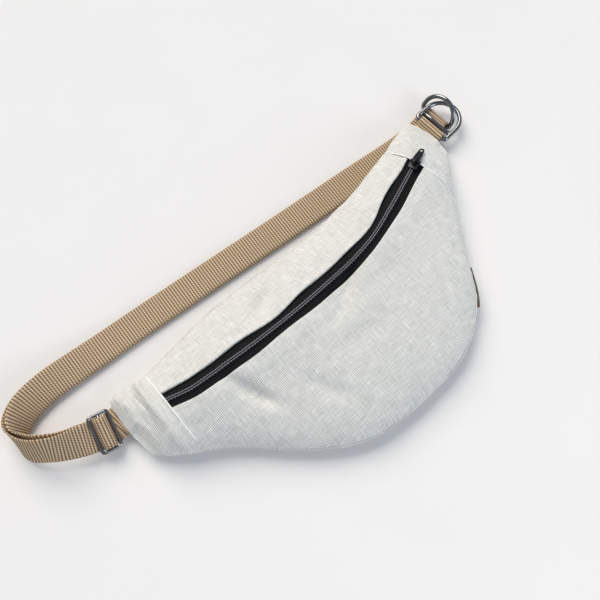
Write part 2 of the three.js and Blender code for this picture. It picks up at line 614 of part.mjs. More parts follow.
// The origin lies under the middle of the whole thing, on the table
const extent = new THREE.Box3().setFromObject(bag, true);
const middle = extent.getCenter(new THREE.Vector3());
bag.position.set(-middle.x, -middle.y, -extent.min.z);

export default bag;
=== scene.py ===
# %% [markdown]
# A hip bag of natural linen, lying on its back on a white table, with its webbing strap spread out above it.
# The measured frame of the bag is loaded first. Every piece made below sits in that same frame, in metres, so
# nothing has to be fitted afterwards.

# %% Load the frame
import math
import bmesh
import bpy
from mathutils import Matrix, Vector, kdtree, noise


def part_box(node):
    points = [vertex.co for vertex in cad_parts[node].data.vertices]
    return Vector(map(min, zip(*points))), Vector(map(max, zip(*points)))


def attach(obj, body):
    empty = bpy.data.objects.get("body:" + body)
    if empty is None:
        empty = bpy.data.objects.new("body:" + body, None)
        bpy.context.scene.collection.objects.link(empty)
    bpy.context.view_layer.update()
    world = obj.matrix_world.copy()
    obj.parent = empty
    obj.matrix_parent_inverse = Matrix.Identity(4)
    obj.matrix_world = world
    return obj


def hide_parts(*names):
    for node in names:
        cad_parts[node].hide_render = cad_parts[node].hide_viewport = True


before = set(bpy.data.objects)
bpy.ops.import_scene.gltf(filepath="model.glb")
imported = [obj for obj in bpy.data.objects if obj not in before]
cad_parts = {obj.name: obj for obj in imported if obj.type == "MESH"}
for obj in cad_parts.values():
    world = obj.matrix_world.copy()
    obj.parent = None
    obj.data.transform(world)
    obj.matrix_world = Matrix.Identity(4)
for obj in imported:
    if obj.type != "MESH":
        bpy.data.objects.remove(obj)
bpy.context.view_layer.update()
MM = 0.001
BAG, PULLER = "bag", "puller"


def in_scene(name, data):
    thing = bpy.data.objects.new(name, data)
    bpy.context.scene.collection.objects.link(thing)
    return thing


# %% [markdown]
# The camera stands where the photographer stood: a little left of the bag's lower edge, high up, looking down
# at the middle of the bag. The lens follows from the width of the webbing at the near and the far end.

# %% Camera
VIEW_MIDDLE = Vector((10.372, 15.883, 0)) * MM
EYE_FROM_MIDDLE = Vector((-171.1, -177.1, 676.6)) * MM
LENS_PIXELS, FRAME_PIXELS = 897, 600

camera_data = bpy.data.cameras.new("camera")
camera_data.sensor_width = 36
camera_data.lens = camera_data.sensor_width * LENS_PIXELS / FRAME_PIXELS
camera_data.clip_start = 0.01
camera = in_scene("camera", camera_data)
camera.location = VIEW_MIDDLE + EYE_FROM_MIDDLE
camera.rotation_euler = (-EYE_FROM_MIDDLE).to_track_quat("-Z", "Y").to_euler()
bpy.context.scene.camera = camera
print("lens", round(camera_data.lens, 1), "mm")

# %% [markdown]
# Materials are built from nodes. A few short helpers keep that readable: one adds a node with its values, and
# one opens a node group with named sockets. A value is set by the name of its socket.

# %% Node helpers
def add_node(tree, kind, values=None, **settings):
    node = tree.nodes.new(kind)
    for name, value in settings.items():
        setattr(node, name, value)
    for name, value in (values or {}).items():
        if isinstance(value, bpy.types.NodeSocket):
            tree.links.new(value, node.inputs[name])
        else:
            node.inputs[name].default_value = value
    return node


def maths(tree, operation, a, b=0.0, c=0.0, clamp=False):
    return add_node(tree, "ShaderNodeMath", {0: a, 1: b, 2: c}, operation=operation, use_clamp=clamp).outputs[0]


def new_group(name, inputs, outputs):
    group = bpy.data.node_groups.new(name, "ShaderNodeTree")
    for label, kind, value in inputs:
        socket = group.interface.new_socket(label, in_out="INPUT", socket_type=kind)
        if value is not None:
            socket.default_value = value
    for label, kind in outputs:
        group.interface.new_socket(label, in_out="OUTPUT", socket_type=kind)
    return group, group.nodes.new("NodeGroupInput").outputs, group.nodes.new("NodeGroupOutput").inputs


def new_material(name, base, roughness, metallic=0.0, sheen=0.0, specular=0.5):
    material = bpy.data.materials.new(name)
    material.use_nodes = True
    material.diffuse_color = (*base, 1)
    shader = material.node_tree.nodes["Principled BSDF"]
    for socket, value in (("Base Color", (*base, 1)), ("Roughness", roughness), ("Metallic", metallic),
                          ("Sheen Weight", sheen), ("Specular IOR Level", specular)):
        shader.inputs[socket].default_value = value
    return material, material.node_tree, shader


def add_bump(tree, shader, height, distance, strength):
    bump = add_node(tree, "ShaderNodeBump", {"Height": height, "Distance": distance, "Strength": strength})
    tree.links.new(bump.outputs["Normal"], shader.inputs["Normal"])


# %% [markdown]
# Linen is a plain weave of uneven yarn. Close up, the yarns cross over and under; from further off, the eye
# sees the slubs, the thick places in single yarns, as fine lines that run along and across the cloth.
# Several pieces use this weave, so it is a node group: it takes coordinates in metres, the yarns per metre and
# how strong the slubs are.

# %% Woven yarns as a node group
YARN_SWAY = (1.1, 1.1, 1.1)
SLUBS_ALONG, SLUBS_ACROSS = (0.06, 0.95, 0.05), (0.95, 0.06, 0.05)


def build_woven_yarns():
    tree, given, result = new_group(
        "woven yarns",
        [("Vector", "NodeSocketVector", None), ("Yarns per metre", "NodeSocketFloat", 1400.0),
         ("Slubs", "NodeSocketFloat", 2.0)],
        [("Tone", "NodeSocketFloat"), ("Height", "NodeSocketFloat")])
    count = add_node(tree, "ShaderNodeVectorMath", {0: given["Vector"]}, operation="SCALE")
    tree.links.new(given["Yarns per metre"], count.inputs["Scale"])
    wander = add_node(tree, "ShaderNodeTexNoise", {"Vector": given["Vector"], "Scale": 130.0, "Detail": 2.0})
    sway = add_node(tree, "ShaderNodeVectorMath", {0: wander.outputs["Color"], 1: YARN_SWAY},
                    operation="MULTIPLY")
    yarn = add_node(tree, "ShaderNodeVectorMath", {0: count.outputs[0], 1: sway.outputs[0]}, operation="ADD")
    axis = add_node(tree, "ShaderNodeSeparateXYZ", {0: yarn.outputs[0]})
    rows = [maths(tree, "SINE", maths(tree, "MULTIPLY", axis.outputs[name], math.pi)) for name in ("X", "Y")]
    crossing = maths(tree, "MULTIPLY_ADD", maths(tree, "ADD", *rows), 0.42, 0.5)

    def slub_lines(stretch):
        squeezed = add_node(tree, "ShaderNodeVectorMath", {0: yarn.outputs[0], 1: stretch}, operation="MULTIPLY")
        lines = add_node(tree, "ShaderNodeTexNoise", {"Vector": squeezed.outputs[0], "Scale": 1.0, "Detail": 0.0})
        return maths(tree, "SUBTRACT", lines.outputs["Fac"], 0.5)

    slub = maths(tree, "ADD", slub_lines(SLUBS_ALONG), slub_lines(SLUBS_ACROSS))
    slub = maths(tree, "MULTIPLY", slub, given["Slubs"])
    tree.links.new(maths(tree, "ADD", crossing, slub, clamp=True), result["Tone"])
    tree.links.new(maths(tree, "ADD", maths(tree, "MULTIPLY", crossing, 0.5), slub), result["Height"])
    return tree


WOVEN_YARNS = build_woven_yarns()
print("node group", WOVEN_YARNS.name)

# %% [markdown]
# Handled things are never one even colour. A second group gives slow patches and fine specks, for the cloth's
# faint clouding, the yarn's colour and the haze on polished metal.

# %% Patches and specks as a node group
def build_patches():
    tree, given, result = new_group(
        "patches", [("Vector", "NodeSocketVector", None), ("Patch size", "NodeSocketFloat", 0.03)],
        [("Patch", "NodeSocketFloat"), ("Speck", "NodeSocketFloat")])
    scale = maths(tree, "DIVIDE", 1.0, given["Patch size"])
    slow = add_node(tree, "ShaderNodeTexNoise", {"Vector": given["Vector"], "Scale": scale, "Detail": 3.0})
    fine = add_node(tree, "ShaderNodeTexNoise",
                    {"Vector": given["Vector"], "Scale": maths(tree, "MULTIPLY", scale, 40.0), "Detail": 2.0})
    tree.links.new(slow.outputs["Fac"], result["Patch"])
    tree.links.new(fine.outputs["Fac"], result["Speck"])
    return tree


PATCHES = build_patches()


def place_group(tree, group, vector, **values):
    node = add_node(tree, "ShaderNodeGroup", node_tree=group)
    tree.links.new(vector, node.inputs["Vector"])
    for name, value in values.items():
        node.inputs[name.replace("_", " ")].default_value = value
    return node.outputs


def blend_colour(tree, factor, low, high):
    mix = add_node(tree, "ShaderNodeMix", {"Factor": factor}, data_type="RGBA")
    for socket, value in (("A_Color", low), ("B_Color", high)):
        slot = next(s for s in mix.inputs if s.identifier == socket)
        if isinstance(value, bpy.types.NodeSocket):
            tree.links.new(value, slot)
        else:
            slot.default_value = (*value, 1)
    return next(s for s in mix.outputs if s.identifier == "Result_Color")


# %% [markdown]
# Most materials go from a dark to a light colour by one of the two groups, read in the object's own space. The
# metals are hazy as well: their roughness follows the specks.

# %% Materials made with the groups
SPECK_BUMP = 0.0001


def grouped_material(name, base, roughness, group, output, dark, light, finish, **values):
    material, tree, shader = new_material(name, base, roughness, **finish)
    place = add_node(tree, "ShaderNodeTexCoord").outputs["Object"]
    made = place_group(tree, group, place, **values)
    tree.links.new(blend_colour(tree, made[output], dark, light), shader.inputs["Base Color"])
    return material, tree, shader, made


def woven_material(name, base, roughness, yarns_per_metre, slubs, dark, light, bump, **finish):
    material, tree, shader, yarns = grouped_material(name, base, roughness, WOVEN_YARNS, "Tone", dark, light, finish,
                                                     Yarns_per_metre=yarns_per_metre, Slubs=slubs)
    add_bump(tree, shader, yarns["Height"], *bump)
    return material


def speckled_material(name, base, roughness, patch_size, dark, light, bump, **finish):
    material, tree, shader, patches = grouped_material(name, base, roughness, PATCHES, "Speck", dark, light, finish,
                                                       Patch_size=patch_size)
    add_bump(tree, shader, patches["Speck"], SPECK_BUMP, bump)
    return material


def hazy_metal(name, base, roughness, patch_size, dark, light, haze, least, **finish):
    material, tree, shader, patches = grouped_material(name, base, roughness, PATCHES, "Patch", dark, light, finish,
                                                       Patch_size=patch_size)
    tree.links.new(maths(tree, "MULTIPLY_ADD", patches["Speck"], haze, least), shader.inputs["Roughness"])
    return material


# %% [markdown]
# The linen is washed and undyed. A pattern in plain X and Y would smear down the steep sides of the bag, so each
# linen piece carries a weave attribute: its place on the cloth in metres, unrolled over the sides. Single yarns
# are lighter or darker, and slow patches cloud the cloth.

# %% Linen
def make_linen(name, dark, light, cloud_tone):
    middle = tuple((a + b) / 2 for a, b in zip(dark, light))
    material, tree, shader = new_material(name, middle, 0.93, sheen=0.1)
    cloth_place = add_node(tree, "ShaderNodeAttribute", attribute_name="weave").outputs["Vector"]
    yarns = place_group(tree, WOVEN_YARNS, cloth_place, Yarns_per_metre=1520.0, Slubs=1.05)
    patches = place_group(tree, PATCHES, cloth_place, Patch_size=0.035)
    cloth = blend_colour(tree, yarns["Tone"], dark, light)
    cloud = maths(tree, "MULTIPLY", maths(tree, "POWER", patches["Patch"], 2.0), 0.75)
    tree.links.new(blend_colour(tree, cloud, cloth, cloud_tone), shader.inputs["Base Color"])
    add_bump(tree, shader, yarns["Height"], 0.0006, 0.6)
    return material


LINEN = make_linen("natural linen", (0.53, 0.518, 0.488), (0.985, 0.963, 0.915), (0.80, 0.768, 0.708))
# A lighter copy of the linen for the folded cuff edges: its paleness is a painted highlight along each fold.
PAINTED_HIGHLIGHT_LINEN = make_linen("folded linen edge, painted highlight", (0.93, 0.92, 0.90), (1.0, 0.995, 0.985), (0.97, 0.965, 0.95))

# %% [markdown]
# Soft pieces start as copies of the frame's plain walls. Merging the loose triangles, pairing them into quads
# and subdividing gives a fine smooth wall. Edges that turn sharply are creased first, so that a cut edge of
# cloth stays crisp instead of shrinking away from its seam.

# %% Fine copies of the plain walls
RIM_ANGLE = math.radians(40)
WELD = 2e-6


def mesh_of(name, shape):
    mesh = bpy.data.meshes.new(name)
    shape.to_mesh(mesh)
    shape.free()
    return mesh


def finish_piece(name, mesh, material, body, nodes):
    for polygon in mesh.polygons:
        polygon.use_smooth = True
    mesh.materials.clear()
    mesh.materials.append(material)
    piece = in_scene(name, mesh)
    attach(piece, body)
    if nodes:
        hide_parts(*nodes)
    return piece


def merged_copy(node):
    shape = bmesh.new()
    shape.from_mesh(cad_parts[node].data)
    bmesh.ops.remove_doubles(shape, verts=shape.verts, dist=WELD)
    return shape


def plain_points(node):
    """The corners of a frame node, in millimetres."""
    shape = merged_copy(node)
    points = [vert.co / MM for vert in shape.verts]
    shape.free()
    return points


def sharp_edges(shape, angle):
    return [e for e in shape.edges if len(e.link_faces) == 2 and e.calc_face_angle(0) > angle]


def subdivided(shape, levels, crease):
    bmesh.ops.join_triangles(shape, faces=shape.faces, angle_face_threshold=3.14, angle_shape_threshold=3.14)
    layer = shape.edges.layers.float.new("crease_edge")
    for edge in sharp_edges(shape, RIM_ANGLE):
        edge[layer] = crease
    mesh = mesh_of("coarse", shape)
    coarse = in_scene("coarse", mesh)
    smooth = coarse.modifiers.new("subdivision", "SUBSURF")
    smooth.levels = smooth.render_levels = levels
    fine = bpy.data.meshes.new_from_object(coarse.evaluated_get(bpy.context.evaluated_depsgraph_get()))
    bpy.data.objects.remove(coarse)
    bpy.data.meshes.remove(mesh)
    return fine


def smooth_step(low, high, value):
    t = min(1.0, max(0.0, (value - low) / (high - low)))
    return t * t * (3 - 2 * t)


def move_along_normals(mesh, amount):
    shape = bmesh.new()
    shape.from_mesh(mesh)
    shape.normal_update()
    moves = [(vert, vert.normal * amount(vert.co / MM, vert.normal) * MM) for vert in shape.verts]
    for vert, move in moves:
        vert.co += move
    shape.to_mesh(mesh)
    shape.free()


# %% [markdown]
# The zip's course is read from the frame's plain coil: its vertices come in rows across the zip, so sorting
# them along the bag and splitting where the next one is far away gives the middle of each row.

# %% Course of the zip
ROW_GAP = 2.5
ZIP_STEPS = 8


def search_tree(places):
    tree = kdtree.KDTree(len(places))
    for i, place in enumerate(places):
        tree.insert(place, i)
    tree.balance()
    return tree


def finer(line, steps):
    return [a.lerp(b, k / steps) for a, b in zip(line, line[1:]) for k in range(steps)]


def zip_course():
    points = sorted(plain_points("zip_coil"), key=lambda p: p.x)
    rows = [[points[0]]]
    for point in points[1:]:
        if point.x - rows[-1][-1].x > ROW_GAP:
            rows.append([])
        rows[-1].append(point)
    return [sum(row, Vector()) / len(row) * MM for row in rows]


ZIP_COURSE = zip_course()
zip_tree = search_tree(finer(ZIP_COURSE, ZIP_STEPS))


def zip_distance(point_mm):
    nearest, _, distance = zip_tree.find(point_mm * MM)
    return distance / MM, nearest / MM


print("zip rows", len(ZIP_COURSE))

# %% [markdown]
# The seam between the front and the back runs round the bag at half its height. In the frame, each corner on
# the back's rim has a corner of a front panel just above it, so the corners that have such a partner are the
# seam. Of each pair across the wall, the outer one is kept.

# %% Course of the seam
PARTNER_GAP = 0.8
COLUMN, LEAST_STEP = 3, 3.2
SEAM_STEPS = 6


def seam_course(front_node, side):
    """The seam along one front panel, from left to right. side is 1 at the waist and -1 at the lower edge."""
    tree = search_tree(plain_points(front_node))
    columns = {}
    for point in plain_points("back_panel"):
        partner, _, gap = tree.find(point)
        if gap < PARTNER_GAP:
            columns.setdefault(round(partner.x / COLUMN), []).append((point + partner) / 2)
    outer = [max(found, key=lambda p: p.y * side) for found in columns.values()]
    line = sorted(outer, key=lambda p: p.x)
    return [p for p, q in zip(line, line[1:] + [None]) if q is None or q.x - p.x > LEAST_STEP]


SEAMS = {"waist": seam_course("front_upper_panel", 1), "lower": seam_course("front_lower_panel", -1)}
seam_tree = search_tree([place for line in SEAMS.values() for place in finer(line, SEAM_STEPS)])


def seam_distance(point_mm):
    return seam_tree.find(point_mm)[2]


print("seam corners", {name: len(line) for name, line in SEAMS.items()})

# %% [markdown]
# The front is one large panel below the zip and a narrow one above it. The cloth is washed, so it is never
# quite flat: slow waves all over, short puckers beside each seam, and a folded edge along the zip. The upper
# edge of the zip is wavier than the lower one, because that narrow panel is cut on a curve. The puckers push
# the cloth straight out from the bag's middle by the place alone, so both sides of a seam move together and
# it never opens.

# %% Cloth movement
# Each row of waves: height, size, seed
SLOW_WAVES = ((1.6, 36, 1), (0.45, 12, 2))
PUCKERS = ((0.9, 6.5, 3), (0.8, 30, 1))
MIDDLE = Vector((10, -25, 0))
PUCKER_REACH = 6


def cloth_noise(point_mm, size, seed):
    return noise.noise(Vector((point_mm.x / size, point_mm.y / size, point_mm.z / size + seed * 7.3)))


def waves(point_mm, rows):
    return sum(height * cloth_noise(point_mm, size, seed) for height, size, seed in rows)


def soft_waves(point_mm):
    return waves(point_mm, SLOW_WAVES)


def seam_puckers(point_mm):
    flat = Vector((point_mm.x, point_mm.y, 0))
    between_cuffs = smooth_step(-128, -108, flat.x) * smooth_step(150, 130, flat.x)
    near = math.exp(-seam_distance(point_mm) / PUCKER_REACH) * between_cuffs
    return (flat - MIDDLE).normalized() * near * waves(flat, PUCKERS)


# Hollows that handling left in the front: middle x and y, the way they run, half length, half width, depth
HOLLOWS = ((-73.0, -20.0, -70, 19, 4.8, 8.2), (-20.0, 27.0, 16, 20, 7.0, 5.2), (33.0, -12.0, 25, 23, 8.0, 5.8),
           (72.0, 24.0, 36, 20, 7.0, 2.4), (-30.0, -58.0, -66, 22, 7.0, 2.9), (60.0, -40.0, 62, 22, 8.0, 2.6),
           (12.0, -46.0, -6, 26, 8.0, 2.0), (-95.0, 28.0, 60, 14, 6.0, 2.0))
SLACK, TAPE_EDGE = 0.45, 12.5


def hollows(point_mm):
    deep = 0.0
    for x, y, turn, long, wide, depth in HOLLOWS:
        a = math.radians(turn)
        along = (point_mm.x - x) * math.cos(a) + (point_mm.y - y) * math.sin(a)
        across = (point_mm.y - y) * math.cos(a) - (point_mm.x - x) * math.sin(a)
        deep += depth * math.exp(-(along / long) ** 2 - (across / wide) ** 2)
    return deep


def slack(point_mm, zip_place, away):
    """How far the cloth hangs below its full pillow shape, towards a straight line from the zip to the seam."""
    seam_place, _, from_seam = seam_tree.find(point_mm)
    loose = max(away - TAPE_EDGE, 0.0)
    straight = zip_place.z + (seam_place.z - zip_place.z) * loose / (loose + from_seam + 0.1)
    return SLACK * max(point_mm.z - straight, 0.0) * smooth_step(0, 12, loose)


# %% [markdown]
# Every linen piece is finished in the same way: nothing may reach below the table, and the weave attribute is
# written once the cloth has its final shape.

# %% Finish of the linen pieces
ROLL_HEIGHT = 14 * MM


def finish_linen(name, mesh, nodes, roll=0.0, material=LINEN):
    """Keep the cloth above the table, give it its weave attribute and make it a piece of the bag. roll is 1
    where the side below ROLL_HEIGHT faces the waist, -1 where it faces away from it."""
    weave = mesh.attributes.new("weave", "FLOAT_VECTOR", "POINT")
    for vert, place in zip(mesh.vertices, weave.data):
        vert.co.z = max(vert.co.z, 0.0)
        place.vector = (vert.co.x, vert.co.y - roll * min(vert.co.z, ROLL_HEIGHT), 0.0)
    return finish_piece(name, mesh, material, BAG, nodes)


# %% [markdown]
# Beside the zip the cloth is held by its stitches, so the waves grow with the distance from it. The seam holds it
# too. The turned edge at the zip is two layers thick and sways from side to side.

# %% Front panels
ZIP_EDGE, WAVES_FULL, SWAY_END = 8.2, 26, 20
SEAM_STILL, SEAM_HOLD = 0.4, 6.0
FOLD_WIDTH, FOLD_SOFT, FOLD_THICK = 3.2, 0.9, 0.35


def held_by_seam(point_mm, reach=SEAM_HOLD):
    return smooth_step(SEAM_STILL, reach, seam_distance(point_mm))


def front_panel(node, wave, roll):
    mesh = subdivided(merged_copy(node), 3, 0.9)

    def amount(point, normal):
        away, _ = zip_distance(point)
        hold = smooth_step(ZIP_EDGE, WAVES_FULL, away)
        outside = 1.0 if normal.z > 0 else -1.0
        fold_end = ZIP_EDGE + FOLD_WIDTH
        fold = FOLD_THICK * (1 - smooth_step(fold_end - FOLD_SOFT, fold_end + FOLD_SOFT, away))
        return outside * held_by_seam(point) * soft_waves(point) * (0.25 + 0.75 * hold) + fold

    move_along_normals(mesh, amount)
    for vert in mesh.vertices:
        point = vert.co / MM
        away, nearest = zip_distance(point)
        pull = 1 - smooth_step(ZIP_EDGE, SWAY_END, away)
        sway = wave * (math.sin(point.x / 8.7 + 1.2) * 0.55 + math.sin(point.x / 15.1) * 0.6 + 0.15)
        side = Vector((point.x - nearest.x, point.y - nearest.y, 0))
        if side.length > 0:
            vert.co += side.normalized() * sway * pull * MM
        drop = hollows(point) * held_by_seam(point, 3 * SEAM_HOLD) + slack(point, nearest, away)
        vert.co += (seam_puckers(point) - Vector((0, 0, drop))) * MM
    return finish_linen(node + "_cloth", mesh, [node], roll)


upper_cloth = front_panel("front_upper_panel", 1.4, 1.0)
lower_cloth = front_panel("front_lower_panel", 0.55, -1.0)
print("front panels", len(upper_cloth.data.polygons), len(lower_cloth.data.polygons))

# %% [markdown]
# The back lies on the table, so it stays flat underneath and only its rolled rim moves with the seam.

# %% Back panel
def back_panel():
    mesh = subdivided(merged_copy("back_panel"), 3, 0.9)

    def amount(point, normal):
        raised = smooth_step(0.4, 6, point.z)
        outside = 1.0 if normal.z < 0 else -1.0
        return outside * raised * 0.6 * soft_waves(point) * held_by_seam(point)

    move_along_normals(mesh, amount)
    for vert in mesh.vertices:
        vert.co += seam_puckers(vert.co / MM) * MM
    return finish_linen("back_panel_cloth", mesh, ["back_panel"])


back_cloth = back_panel()

# %% [markdown]
# Each end is a cuff sewn over the panels and the zip's end. Its open edge is a straight line across the bag,
# found from the two ends of that edge in the frame's plain cuff. The cloth swells between this edge and the
# webbing, most on the left, where the cuff is folded in deep. The frame leaves the mouth open all across; here
# it is pressed flat, most beside the webbing, as it is sewn shut there.

# %% End cuffs
MOUTH_DEEP, MOUTH_SOFT = 11, 4
RIDGE, DENT = (8.0, 3.6), (17.0, 5.0)
CUFF_THICK, EDGE_OUT = 0.3, 0.75


def bell(value, middle, wide):
    return math.exp(-((value - middle) / wide) ** 2)


def cuff_seam(node, side):
    """The cuff's open edge as x for a given y, in millimetres. side is -1 for the left cuff and 1 for the right."""
    points = plain_points(node)
    low, high = min(p.y for p in points), max(p.y for p in points)
    bottom = min((p for p in points if p.y < low + 12), key=lambda p: p.x * side)
    top = min((p for p in points if p.y > high - (6 if side < 0 else 12)), key=lambda p: p.x * side)
    return lambda y: bottom.x + (top.x - bottom.x) * (y - bottom.y) / (top.y - bottom.y)


def pressed_mouth(mesh, end_x, height, webbing_from, webbing_to):
    for vert in mesh.vertices:
        point = vert.co / MM
        pressed = 1 - smooth_step(0, MOUTH_DEEP, abs(point.x - end_x))
        beside = max(smooth_step(webbing_from, webbing_from - MOUTH_SOFT, point.y),
                     smooth_step(webbing_to, webbing_to + MOUTH_SOFT, point.y))
        share = 1 - pressed * (0.2 + 0.6 * beside)
        vert.co.z = (height + (point.z - height) * share) * MM


def end_cuff(node, side, seam_x, swell, mouth):
    mesh = subdivided(merged_copy(node), 3, 0.7)
    low, high = (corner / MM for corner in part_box(node))
    end_x = low.x if side < 0 else high.x

    def amount(point, normal):
        from_seam = abs(point.x - seam_x(point.y))
        from_end = abs(point.x - end_x)
        free = smooth_step(1, 9, from_seam) * smooth_step(2, 12, from_end) * smooth_step(3, 9, point.z)
        outside = 1.0 if normal.z > 0 else 0.3
        ridge = bell(from_seam, *RIDGE) - 0.55 * bell(from_seam, *DENT)
        upper = smooth_step(11, 20, point.z) * (0.25 + 0.75 * smooth_step(-5, 28, point.y))
        puffed = soft_waves(point) + swell * (0.2 + ridge * upper)
        return outside * free * puffed + CUFF_THICK

    move_along_normals(mesh, amount)
    for vert in mesh.vertices:
        from_seam = abs(vert.co.x / MM - seam_x(vert.co.y / MM))
        vert.co.x -= side * EDGE_OUT * (1 - smooth_step(0.2, 2.5, from_seam)) * MM
    pressed_mouth(mesh, end_x, *mouth)
    return finish_linen(node + "_cloth", mesh, [node])


left_seam, right_seam = cuff_seam("left_cuff", -1), cuff_seam("right_cuff", 1)
left_cloth = end_cuff("left_cuff", -1, left_seam, 4.4, (10.5, 26, 52))
right_cloth = end_cuff("right_cuff", 1, right_seam, 0.5, (9.0, 34, 60))
print("cuffs", len(left_cloth.data.polygons), len(right_cloth.data.polygons))

# %% [markdown]
# The zip is a black nylon one with woven tapes. A fine rib runs along the tape, and a line of sewing thread holds
# the coil; its pale grey is a painted highlight along the coil's two rows. The tape's ribs are put in as waves across
# it, in the tape's own material.

# %% Zip tapes
TAPE_BLACK = woven_material("black zip tape", (0.007, 0.007, 0.008), 0.75, 1700.0, 1.2, (0.003, 0.003, 0.0035),
                            (0.013, 0.013, 0.015), (0.0004, 0.5), specular=0.15)


def zip_tape(node):
    mesh = subdivided(merged_copy(node), 2, 0.8)
    move_along_normals(mesh, lambda point, normal: 0.12 * cloth_noise(point, 9, 5))
    for vert in mesh.vertices:
        vert.co.z -= hollows(vert.co / MM) * MM
    return finish_piece(node + "_woven", mesh, TAPE_BLACK, BAG, [node])


upper_tape = zip_tape("zip_tape_upper")
lower_tape = zip_tape("zip_tape_lower")

# %% [markdown]
# The coil is a row of small nylon loops that hook into each other. Each loop is one short rounded bar, made
# once from a cube by bevelling it, and set along the zip's course with every second one reaching to the other
# side. Two cords of sewing thread run along the loops' ends.

# %% Smooth lines and bars along them
LINE_STEPS = 12
TINY = 1e-9


def curve_between(a, b, c, d, steps):
    """Points from b towards c on a smooth line that comes from a and goes on to d."""
    span = (c - b).length
    leave = (c - a) * (span / max((c - a).length, TINY))
    arrive = (d - b) * (span / max((d - b).length, TINY))
    return [(2 * t**3 - 3 * t**2 + 1) * b + (t**3 - 2 * t**2 + t) * leave
            + (3 * t**2 - 2 * t**3) * c + (t**3 - t**2) * arrive for t in (k / steps for k in range(steps))]


def along_line(points, spacing):
    """Points at even steps on a smooth line, each with its direction and its distance from the start."""
    dense = []
    for i in range(len(points) - 1):
        dense += curve_between(points[max(i - 1, 0)], points[i], points[i + 1],
                               points[min(i + 2, len(points) - 1)], LINE_STEPS)
    dense.append(points[-1].copy())
    lengths = [0.0]
    for p, q in zip(dense, dense[1:]):
        lengths.append(lengths[-1] + (q - p).length)
    count = max(2, round(lengths[-1] / spacing))
    found, k = [], 0
    for i in range(count + 1):
        goal = lengths[-1] * i / count
        while k < len(dense) - 2 and lengths[k + 1] < goal:
            k += 1
        step = lengths[k + 1] - lengths[k]
        share = (goal - lengths[k]) / step if step > 0 else 0
        found.append((dense[k].lerp(dense[k + 1], share), (dense[k + 1] - dense[k]).normalized(), goal))
    return found


COIL_PITCH = 1.35 * MM
LOOP_SIZE = Vector((0.85, 3.0, 1.15)) * MM
LOOP_SIDE, LOOP_ROUND, LOOP_LIFT = 0.75 * MM, 0.3 * MM, 0.12 * MM


def coil_line(spacing):
    """Places along the zip at even steps, each with the direction along it, sunk into the cloth's hollows."""
    return [(point - Vector((0, 0, hollows(point / MM))) * MM, along)
            for point, along, _ in along_line(ZIP_COURSE, spacing)]


def out_of_cloth():
    """The zip's outward direction at each of its rows, from the frame's own coil."""
    shape = merged_copy("zip_coil")
    shape.normal_update()
    faces = [face for face in shape.faces if face.normal.z > 0.5]
    tree = search_tree([face.calc_center_median() for face in faces])
    normals = [face.normal.copy() for face in faces]
    shape.free()
    return lambda point: normals[tree.find(point)[1]]


zip_out = out_of_cloth()


def zip_coil():
    shape = bmesh.new()
    for i, (point, along) in enumerate(coil_line(COIL_PITCH)):
        out = zip_out(point)
        across = out.cross(along).normalized()
        side = LOOP_SIDE if i % 2 else -LOOP_SIDE
        loop = bmesh.ops.create_cube(shape, size=1.0)["verts"]
        edges = list({edge for vert in loop for edge in vert.link_edges})
        bmesh.ops.scale(shape, verts=loop, vec=LOOP_SIZE)
        made = bmesh.ops.bevel(shape, geom=edges, offset=LOOP_ROUND, offset_type="OFFSET", segments=1,
                               profile=0.5, affect="EDGES", material=-1)
        for vert in {v for face in made["faces"] for v in face.verts}:
            x, y, z = vert.co
            vert.co = point + along * x + across * (y + side) + out * (z + LOOP_LIFT)
    return mesh_of("zip_coil_loops", shape)


COIL_GREY = speckled_material("black nylon coil", (0.03, 0.03, 0.032), 0.35, 0.004, (0.014, 0.014, 0.016),
                              (0.07, 0.07, 0.074), 0.4)
finish_piece("zip_coil_loops", zip_coil(), COIL_GREY, BAG, ["zip_coil"])

# %% [markdown]
# A tube along a line is a grid whose rows are laid round the line: the grid operator makes the faces, and each
# vertex is moved to its place. The two long sides are merged, and open ends are filled.

# %% Tubes and wires
def wrap_grid(stations, around, place, closed, mark=None):
    """A grid of stations by points around, each vertex moved to place(i, j), as a closed skin. Where mark is
    given, mark(i, j) is kept on the vertex as its place on the webbing."""
    shape = bmesh.new()
    rows = stations + (1 if closed else 0)
    bmesh.ops.create_grid(shape, x_segments=rows - 1, y_segments=around, size=0.5)
    layer = shape.verts.layers.float_vector.new("webbing") if mark else None
    for vert in shape.verts:
        i = round((vert.co.x + 0.5) * (rows - 1)) % stations
        j = round((vert.co.y + 0.5) * around) % around
        vert.co = place(i, j)
        if mark:
            vert[layer] = mark(i, j)
    bmesh.ops.remove_doubles(shape, verts=shape.verts, dist=1e-7)
    if not closed:
        bmesh.ops.holes_fill(shape, edges=[e for e in shape.edges if e.is_boundary], sides=0)
    bmesh.ops.recalc_face_normals(shape, faces=shape.faces)
    return shape


def wire_shape(points, radius, around, closed):
    """A round wire along points; its section turns with the line so that it never twists."""
    count = len(points)
    frames, side = [], None
    for i, point in enumerate(points):
        ahead = points[(i + 1) % count] if closed else points[min(i + 1, count - 1)]
        behind = points[i - 1] if closed or i else point
        along = (ahead - behind).normalized()
        if side is None:
            side = along.orthogonal().normalized()
        side = (side - along * side.dot(along)).normalized()
        frames.append((point, side.copy(), along.cross(side)))
    if closed:
        turn = math.atan2(frames[0][2].dot(frames[-1][1]), frames[0][1].dot(frames[-1][1]))
        for i, (point, a, b) in enumerate(frames):
            cos, sin = math.cos(-turn * i / count), math.sin(-turn * i / count)
            frames[i] = point, a * cos + b * sin, b * cos - a * sin

    def place(i, j):
        angle = 2 * math.pi * j / around
        point, a, b = frames[i]
        return point + (a * math.cos(angle) + b * math.sin(angle)) * radius

    return wrap_grid(count, around, place, closed)


